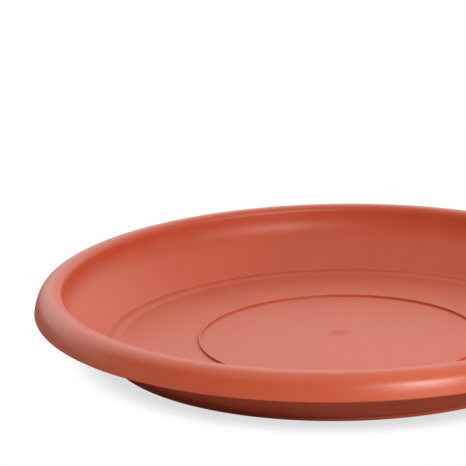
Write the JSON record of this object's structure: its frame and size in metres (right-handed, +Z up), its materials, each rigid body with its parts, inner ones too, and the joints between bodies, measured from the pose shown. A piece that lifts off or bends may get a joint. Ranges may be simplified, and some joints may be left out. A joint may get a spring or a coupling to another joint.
{
  "type": "plant saucer",
  "caption": "Round shallow plastic saucer with a rolled rim, sloping wall, ledge and low ring on the floor, for catching water under a plant pot.",
  "frame": {"origin": "centre of the saucer on the ground that it stands on", "axes": "+Z up along the axis of revolution; +X to the right and +Y away from the viewer of the picture"},
  "size_m": [0.3996, 0.3996, 0.0439],
  "materials": {
    "terracotta_plastic": "satin moulded"
  },
  "bodies": {
    "root": {"saucer": "terracotta_plastic"}
  },
  "joints": []
}
